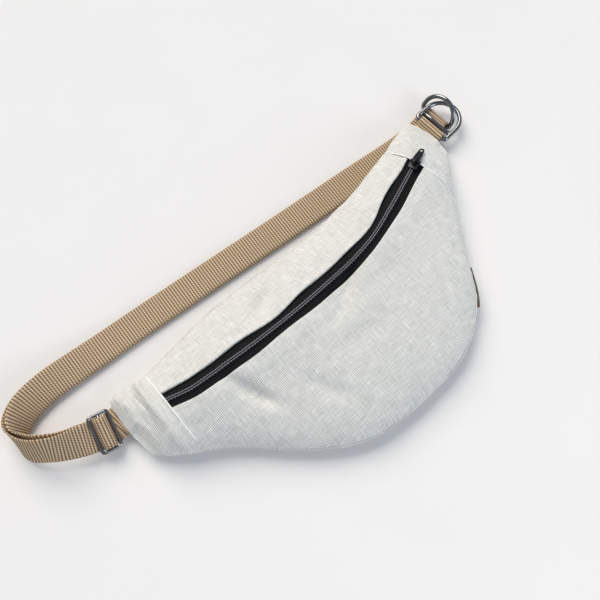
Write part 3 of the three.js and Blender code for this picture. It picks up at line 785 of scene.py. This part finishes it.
def join_shapes(name, shapes):
    whole = bmesh.new()
    for shape in shapes:
        part = mesh_of("part", shape)
        whole.from_mesh(part)
        bpy.data.meshes.remove(part)
    return mesh_of(name, whole)


# %% [markdown]
# The cuffs' open edges are folded, and each fold shows as a thin pale line: a painted highlight, made with a
# lighter copy of the linen. Each fold is a soft tube laid on the edge, found as the outermost point of the cuff
# at each step across the bag.

# %% Folded cuff edges
EDGE_STEP, EDGE_ABOVE, EDGE_NEAR = 1.5, 9, 5
EDGE_TRIM, EDGE_SMOOTHING = 2, 4
FOLD_SUNK = 0.4


def cuff_edge(cloth, side, seam_x):
    rows = {}
    for vert in cloth.data.vertices:
        point = vert.co / MM
        if vert.normal.z > 0.2 and point.z > EDGE_ABOVE and abs(point.x - seam_x(point.y)) < EDGE_NEAR:
            step = round(point.y / EDGE_STEP)
            if step not in rows or (point.x - rows[step].x) * side < 0:
                rows[step] = point
    line = [rows[step] for step in sorted(rows)][EDGE_TRIM:-EDGE_TRIM]
    for _ in range(EDGE_SMOOTHING):
        line = [line[0]] + [(a + b * 2 + c) / 4 for a, b, c in zip(line, line[1:], line[2:])] + [line[-1]]
    return line


def folded_edge(name, line, radius, lift):
    last = len(line) - 1
    raised = [(point + Vector((0, 0, lift * smooth_step(0, 5, min(i, last - i)) - FOLD_SUNK))) * MM
              for i, point in enumerate(line)]
    places = [point for point, _, _ in along_line(raised, 1.0 * MM)]
    mesh = join_shapes(name, [wire_shape(places, radius * MM, 10, False)])
    # The tube's linen is the lighter copy, a painted highlight on the fold.
    return finish_linen(name, mesh, [], material=PAINTED_HIGHLIGHT_LINEN)


left_edge, right_edge = cuff_edge(left_cloth, -1, left_seam), cuff_edge(right_cloth, 1, right_seam)
left_fold = folded_edge("left_cuff_fold", left_edge, 0.85, 1.4)
right_fold = folded_edge("right_cuff_fold", right_edge, 0.65, 1.3)
print("folded edges", len(left_edge), len(right_edge))

# %% [markdown]
# Where front and back meet, the two cut edges are turned in and the seam shows as a fine roll of cloth. It is a
# thin tube along the seam's course, moved by the same puckers as the panels.

# %% Seam rolls
SEAM_ROLL = 0.75 * MM


def seam_roll(name):
    line = [(point + seam_puckers(point)) * MM for point, _, _ in along_line(SEAMS[name], 2.0)]
    places = [point for point, _, _ in along_line(line, 1.5 * MM)]
    mesh = join_shapes(name + "_seam_roll", [wire_shape(places, SEAM_ROLL, 8, False)])
    return finish_linen(name + "_seam_roll", mesh, [])


waist_roll, lower_roll = seam_roll("waist"), seam_roll("lower")

# %% [markdown]
# With the tubes at hand, the two cords of sewing thread are laid along the ends of the coil's loops.

# %% Sewing threads on the coil
THREAD, THREAD_SIDE, THREAD_LIFT = 0.2 * MM, 0.95 * MM, 0.78 * MM


def coil_threads():
    shapes = []
    for side in (-THREAD_SIDE, THREAD_SIDE):
        line = []
        for point, along in coil_line(2.2 * MM):
            out = zip_out(point)
            line.append(point + out.cross(along).normalized() * side + out * THREAD_LIFT)
        shapes.append(wire_shape(line, THREAD, 6, False))
    return join_shapes("zip_coil_threads", shapes)


# The thread is real, but its pale grey is a painted highlight along the rows of the coil.
THREAD_PAINTED_HIGHLIGHT = speckled_material("sewing thread, painted highlight", (0.52, 0.52, 0.54), 0.6, 0.006, (0.16, 0.16, 0.17),
                                (0.52, 0.52, 0.54), 0.5, sheen=0.2)
finish_piece("zip_coil_threads", coil_threads(), THREAD_PAINTED_HIGHLIGHT, BAG, [])

# %% [markdown]
# The slider and its puller are small castings. The frame has their true shapes with hard edges; a narrow bevel
# on a copy rounds every edge as tumbling does, which also lets the lacquer catch the light.

# %% Slider and puller
BLACK_LACQUER = hazy_metal("black lacquered metal", (0.014, 0.014, 0.015), 0.28, 0.004, (0.008, 0.008, 0.009),
                           (0.03, 0.03, 0.031), 0.25, 0.15, metallic=0.6)
CAST_EDGE = math.radians(32)
SLOT_AT = Vector((163.65, 31.75, 30.95))
SLOT_REACH, SLOT_WIDER = 1.75, 0.4
PLATE_OUT = Vector((0.2965, 0.2141, 0.9317))


def wider_slot(shape):
    """Open the slot at the puller's tip, so that the cloth below it shows."""
    for vert in shape.verts:
        off = vert.co / MM - SLOT_AT
        off -= PLATE_OUT * off.dot(PLATE_OUT)
        if off.length < SLOT_REACH:
            vert.co += off * SLOT_WIDER * MM


def tumbled(node, body, width, reshape=None):
    shape = merged_copy(node)
    if reshape:
        reshape(shape)
    bmesh.ops.dissolve_limit(shape, angle_limit=math.radians(2), verts=shape.verts, edges=shape.edges)
    bmesh.ops.bevel(shape, geom=sharp_edges(shape, CAST_EDGE), offset=width, offset_type="OFFSET", segments=2,
                    profile=0.5, affect="EDGES", material=-1, clamp_overlap=True)
    finish_piece(node + "_cast", mesh_of(node + "_cast", shape), BLACK_LACQUER, body, [node])


tumbled("zip_slider", BAG, 0.28 * MM)
tumbled("zip_puller", PULLER, 0.25 * MM, wider_slot)

# %% [markdown]
# The strap is one length of tan webbing. Its route is read from the frame's plain band: starting from the end
# inside the left cuff, each step along the band reaches the next four corners, so the corners of every
# section are found in order. Ribs run across the webbing, with a row of small loops along each edge.

# %% Route of a band
def band_route(node, is_end):
    shape = merged_copy(node)
    seen = {v for v in shape.verts if is_end(v.co / MM)}
    ring, route, edge_before = set(seen), [], None
    while ring:
        corners = sorted(ring, key=lambda v: v.index)
        first = corners[0]
        near = min(corners[1:], key=lambda v: (v.co - first.co).length)
        rest = [v for v in corners if v is not first and v is not near]
        edge = ((first.co + near.co) - sum((v.co for v in rest), Vector())).normalized()
        if edge_before and edge.dot(edge_before) < 0:
            edge.negate()
        edge_before = edge
        route.append((sum((v.co for v in corners), Vector()) / len(corners), edge))
        ring = {e.other_vert(v) for v in ring for e in v.link_edges} - seen
        seen |= ring
    shape.free()
    return route


cuff_low, cuff_high = (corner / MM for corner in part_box("left_cuff"))
tab_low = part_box("ring_tab")[0] / MM
strap_route = band_route("strap", lambda p: p.x > cuff_low.x + 5 and p.x < cuff_high.x and p.y < cuff_high.y)
tab_ends = sorted(p.z for p in plain_points("ring_tab") if p.x < tab_low.x + 0.5)
tab_split = (tab_ends[3] + tab_ends[4]) / 2
tab_route = band_route("ring_tab", lambda p: p.x < tab_low.x + 0.5 and p.z > tab_split)
print("strap sections", len(strap_route), "tab sections", len(tab_route))

# %% [markdown]
# The band's section is carried along its route four times in each rib. It is thinner and a little narrower
# between the ribs, and each point keeps its place on the band for the material.

# %% Webbing
RIB, WEBBING_YARN = 2.35 * MM, 2.1 * MM
HALF_WIDE, HALF_THICK = 12.4 * MM, 0.74 * MM
RIB_DEEP, NOTCH_DEEP = 0.26 * MM, 0.35 * MM
ACROSS = 9


def webbing_section():
    """Points round the band's section as (share of the half width, side of the band)."""
    flat = [-1 + 2 * k / (ACROSS - 1) for k in range(ACROSS)]
    upper = [(0.985 * x, 1.0) for x in flat]
    lower = [(0.985 * x, -1.0) for x in reversed(flat)]
    return upper + [(1.0, 0.45), (1.0, -0.45)] + lower + [(-1.0, -0.45), (-1.0, 0.45)]


def webbing_stations(route):
    """Places along the band at a quarter of a rib: point, edge direction, face direction, ridge and run."""
    line = along_line([point for point, _ in route], RIB / 4)
    lengths = [0.0]
    for (p, _), (q, _) in zip(route, route[1:]):
        lengths.append(lengths[-1] + (q - p).length)
    stations, k = [], 0
    for i, (point, _, run) in enumerate(line):
        goal = run / line[-1][2] * lengths[-1]
        while k < len(route) - 2 and lengths[k + 1] < goal:
            k += 1
        share = (goal - lengths[k]) / max(lengths[k + 1] - lengths[k], TINY)
        edge = route[k][1].lerp(route[k + 1][1], min(1.0, max(0.0, share)))
        along = (line[min(i + 1, len(line) - 1)][0] - line[max(i - 1, 0)][0]).normalized()
        edge = (edge - along * edge.dot(along)).normalized()
        stations.append((point, edge, along.cross(edge), abs(math.sin(math.pi * run / RIB)) ** 0.8, run))
    return stations


def webbing(name, route):
    stations, section = webbing_stations(route), webbing_section()

    def place(i, j):
        point, edge, face, ridge, _ = stations[i]
        wide, side = section[j]
        thick = HALF_THICK - RIB_DEEP * (1 - ridge)
        reach = HALF_WIDE - NOTCH_DEEP * (1 - ridge) * abs(wide) ** 8
        spot = point + edge * (wide * reach) + face * (side * thick)
        return Vector((spot.x, spot.y, max(spot.z, 0.0)))

    shape = wrap_grid(len(stations), len(section), place, False,
                      lambda i, j: (stations[i][4], section[j][0] * HALF_WIDE, 0.0))
    return mesh_of(name, shape), stations[-1][4]


def make_webbing_tan():
    material, tree, shader = new_material("tan webbing", (0.44, 0.32, 0.2), 0.9, specular=0.15)
    on_band = add_node(tree, "ShaderNodeAttribute", attribute_name="webbing").outputs["Vector"]
    axis = add_node(tree, "ShaderNodeSeparateXYZ", {0: on_band})
    rib_phase = maths(tree, "MULTIPLY", axis.outputs["X"], math.pi / RIB)
    rib = maths(tree, "POWER", maths(tree, "ABSOLUTE", maths(tree, "SINE", rib_phase)), 1.5)
    yarn_phase = maths(tree, "ADD", maths(tree, "MULTIPLY", axis.outputs["Y"], 2 * math.pi / WEBBING_YARN), rib_phase)
    yarn = maths(tree, "MULTIPLY_ADD", maths(tree, "SINE", yarn_phase), 0.5, 0.5)
    patches = place_group(tree, PATCHES, on_band, Patch_size=0.012)
    # Painted shade: the colour runs nearly black in the grooves between the ribs, where shade falls. The yarn marks
    # and specks are the webbing's own colour.
    tone_with_groove_shade = maths(tree, "ADD", maths(tree, "MULTIPLY", rib, 0.78),
                 maths(tree, "ADD", maths(tree, "MULTIPLY", yarn, 0.24),
                       maths(tree, "MULTIPLY", patches["Speck"], 0.04)), clamp=True)
    tree.links.new(blend_colour(tree, tone_with_groove_shade, (0.022, 0.011, 0.005), (0.79, 0.578, 0.376)),
                   shader.inputs["Base Color"])
    height = maths(tree, "ADD", maths(tree, "MULTIPLY", rib, 0.6), maths(tree, "MULTIPLY", yarn, 0.5))
    add_bump(tree, shader, height, 0.0003, 0.7)
    return material


WEBBING_TAN = make_webbing_tan()


def webbing_piece(name, route, node):
    mesh, length = webbing(name, route)
    return finish_piece(name, mesh, WEBBING_TAN, BAG, [node]), length


strap, strap_length = webbing_piece("strap_webbing", strap_route, "strap")
tab, tab_length = webbing_piece("ring_tab_webbing", tab_route, "ring_tab")
print("strap length", round(strap_length, 3), "tab length", round(tab_length, 3))

# %% [markdown]
# The rings and the slide adjuster are bent from round wire and plated dark. A smooth line through a D outline
# or a rounded frame carries the wire, and a bar across closes the ring in the tab and the adjuster.

# %% Metal
GUNMETAL = hazy_metal("polished gunmetal", (0.24, 0.24, 0.243), 0.14, 0.006, (0.15, 0.15, 0.155),
                      (0.33, 0.327, 0.32), 0.14, 0.03, metallic=1.0)


def smooth_closed(points, spacing):
    count = len(points)
    dense = []
    for i in range(count):
        a, b, c, d = (points[(i + k) % count] for k in (-1, 0, 1, 2))
        dense += curve_between(a, b, c, d, max(1, round((c - b).length / spacing)))
    return dense


def d_outline(half_wide, leg, radius, corner):
    """The D's line in its own plane: its bar on Y, its round side towards +X."""
    bar = [(0, -half_wide + corner + (2 * half_wide - 2 * corner) * k / 6) for k in range(7)]
    sides = [corner + (leg - corner) * k / 3 for k in range(4)]
    outer = [half_wide + (radius - half_wide) * x / leg for x in sides]
    arc = [(leg + radius * math.cos(math.radians(a)), radius * math.sin(math.radians(a)))
           for a in (80 - 160 * k / 12 for k in range(13))]
    return bar + list(zip(sides, outer)) + arc + [(x, -y) for x, y in reversed(list(zip(sides, outer)))]


def wire_ring(outline, origin, axes, radius, bars):
    x_axis, y_axis = axes
    points = [origin + (x_axis * x + y_axis * y) * MM for x, y in outline]
    shapes = [wire_shape(smooth_closed(points, 0.7 * MM), radius, 16, True)]
    for x, half in bars:
        ends = [origin + (x_axis * x + y_axis * y) * MM for y in (-half, -half / 3, half / 3, half)]
        shapes.append(wire_shape(ends, radius * 0.94, 16, False))
    return shapes


WIRE = 1.93 * MM
TILT = math.radians(55)
LEVEL = (Vector((1, 0, 0)), Vector((0, 1, 0)))
STANDING = (Vector((math.cos(TILT), 0, math.sin(TILT))), Vector((0, 1, 0)))
BAG_RING_AT = Vector((195.672, 47.883, 9.9)) * MM
STRAP_RING_AT = Vector((209.372, 54.283, 3.9)) * MM


def metal_piece(name, node, *ring):
    finish_piece(name, join_shapes(name, wire_ring(*ring)), GUNMETAL, BAG, [node])


metal_piece("bag_ring_wire", "bag_ring", d_outline(16.1, 13.4, 15.6, 1.8), BAG_RING_AT, LEVEL, WIRE, [(7.0, 16.1)])
metal_piece("strap_ring_wire", "strap_ring", d_outline(15, 4, 15, 1.8), STRAP_RING_AT, STANDING, WIRE, [])

# %% [markdown]
# The adjuster leans with the strap's end. Its frame has rounded corners, and one bar crosses its middle.

# %% Slide adjuster
ADJUSTER_ALONG = Vector((0.95, -0.22, -0.2)).normalized()
ADJUSTER_EDGE = Vector((0.4, 0.82, 0.4))
ADJUSTER_EDGE = (ADJUSTER_EDGE - ADJUSTER_ALONG * ADJUSTER_EDGE.dot(ADJUSTER_ALONG)).normalized()
ADJUSTER_OUT = ADJUSTER_ALONG.cross(ADJUSTER_EDGE)
ADJUSTER_AT = Vector((-170.828, 38.683, 13.2)) * MM + ADJUSTER_OUT * 1.8 * MM
ADJUSTER_WIRE = 1.38 * MM


def rounded_frame(half_long, half_wide, corner, steps):
    line = []
    for quarter, (sx, sy) in enumerate(((1, 1), (-1, 1), (-1, -1), (1, -1))):
        for k in range(steps + 1):
            turn = math.pi / 2 * (quarter + k / steps)
            line.append((sx * (half_long - corner) + corner * math.cos(turn),
                         sy * (half_wide - corner) + corner * math.sin(turn)))
    return line


metal_piece("adjuster_wire", "adjuster_slide", rounded_frame(7.6, 14.4, 1.5, 3), ADJUSTER_AT,
            (ADJUSTER_ALONG, ADJUSTER_EDGE), ADJUSTER_WIRE, [(0.0, 14.4)])

# %% [markdown]
# A small plain tag is caught in the lower seam. It is a folded ribbon, so its outer edge is round.

# %% Seam tag
TAG_BROWN = woven_material("brown ribbon", (0.09, 0.06, 0.045), 0.8, 2200.0, 0.4, (0.05, 0.032, 0.024),
                           (0.15, 0.105, 0.08), (0.0003, 0.5), sheen=0.2)
TAG_STEP, TAG_TAPER = 1.5 * MM, 0.36


def tapered_tag():
    """The tag's ribbon, drawn in towards the seam at its upper end, where it was caught askew."""
    mesh = subdivided(merged_copy("side_tag"), 2, 0.35)
    low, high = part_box("side_tag")
    middle = (low + high) / 2
    ends = [pick(mesh.vertices, key=lambda v: v.co.y).co.copy() for pick in (min, max)]
    along = Vector((ends[1].x - ends[0].x, ends[1].y - ends[0].y, 0)).normalized()
    out = Vector((along.y, -along.x, 0))
    half = (ends[1] - ends[0]).dot(along) / 2
    inner, places = {}, [((v.co - middle).dot(along), (v.co - middle).dot(out)) for v in mesh.vertices]
    for run, reach in places:
        step = round(run / TAG_STEP)
        inner[step] = min(inner.get(step, 1.0), reach)
    for vert, (run, reach) in zip(mesh.vertices, places):
        vert.co -= out * (reach - inner[round(run / TAG_STEP)]) * TAG_TAPER * (1 + run / half)
    return mesh


finish_piece("side_tag_ribbon", tapered_tag(), TAG_BROWN, BAG, ["side_tag"])

# %% [markdown]
# The table is a white painted board. The light is that of a wide window at the upper left: a sun lamp with a
# large disc gives its direction and its soft shadows, and lights the board evenly to its far edge. A weak lamp
# stands for the wall opposite, at the lower right, and an even cool surround fills the shadows. Seen straight
# on, the surround is as pale as the board, so the two meet with hardly a line.

# %% Table and light
TABLE_SIZE, TABLE_TOP = 4.0, -0.3 * MM
TABLE_WHITE = grouped_material("white table", (0.89, 0.862, 0.846), 0.7, PATCHES, "Patch", (0.875, 0.847, 0.831),
                               (0.905, 0.877, 0.861), {}, Patch_size=0.08)[0]


def table_plane():
    shape = bmesh.new()
    bmesh.ops.create_grid(shape, x_segments=1, y_segments=1, size=TABLE_SIZE)
    bmesh.ops.translate(shape, verts=shape.verts, vec=(0, 0, TABLE_TOP))
    mesh = mesh_of("table", shape)
    mesh.materials.append(TABLE_WHITE)
    return in_scene("table", mesh)


table_plane()


def aimed_light(name, kind, place, power, colour):
    data = bpy.data.lights.new(name, kind)
    data.energy = power
    data.color = colour
    light = in_scene(name, data)
    light.location = Vector(place)
    light.rotation_euler = (-Vector(place)).to_track_quat("-Z", "Y").to_euler()
    return data


window = aimed_light("window", "SUN", (0.4, 1.9, 2.05), 2.52, (1.0, 0.945, 0.853))
window.angle = math.radians(48)
far_wall = aimed_light("far wall", "AREA", (0.7, -2.9, 1.4), 33, (0.92, 0.97, 1.04))
far_wall.shape, far_wall.size = "DISK", 1.8

SURROUND_LIGHT, SURROUND_PALER = 0.36, 0.5
world = bpy.data.worlds.new("surround")
world.use_nodes = True
surround = world.node_tree
seen = add_node(surround, "ShaderNodeLightPath").outputs["Is Camera Ray"]
strength = maths(surround, "MULTIPLY_ADD", seen, SURROUND_PALER, SURROUND_LIGHT)
background = surround.nodes["Background"]
surround.links.new(blend_colour(surround, seen, (0.81, 0.942, 1.12), (0.99, 0.985, 0.975)),
                   background.inputs["Color"])
surround.links.new(strength, background.inputs["Strength"])
bpy.context.scene.world = world
bpy.context.scene.view_settings.view_transform = "Standard"
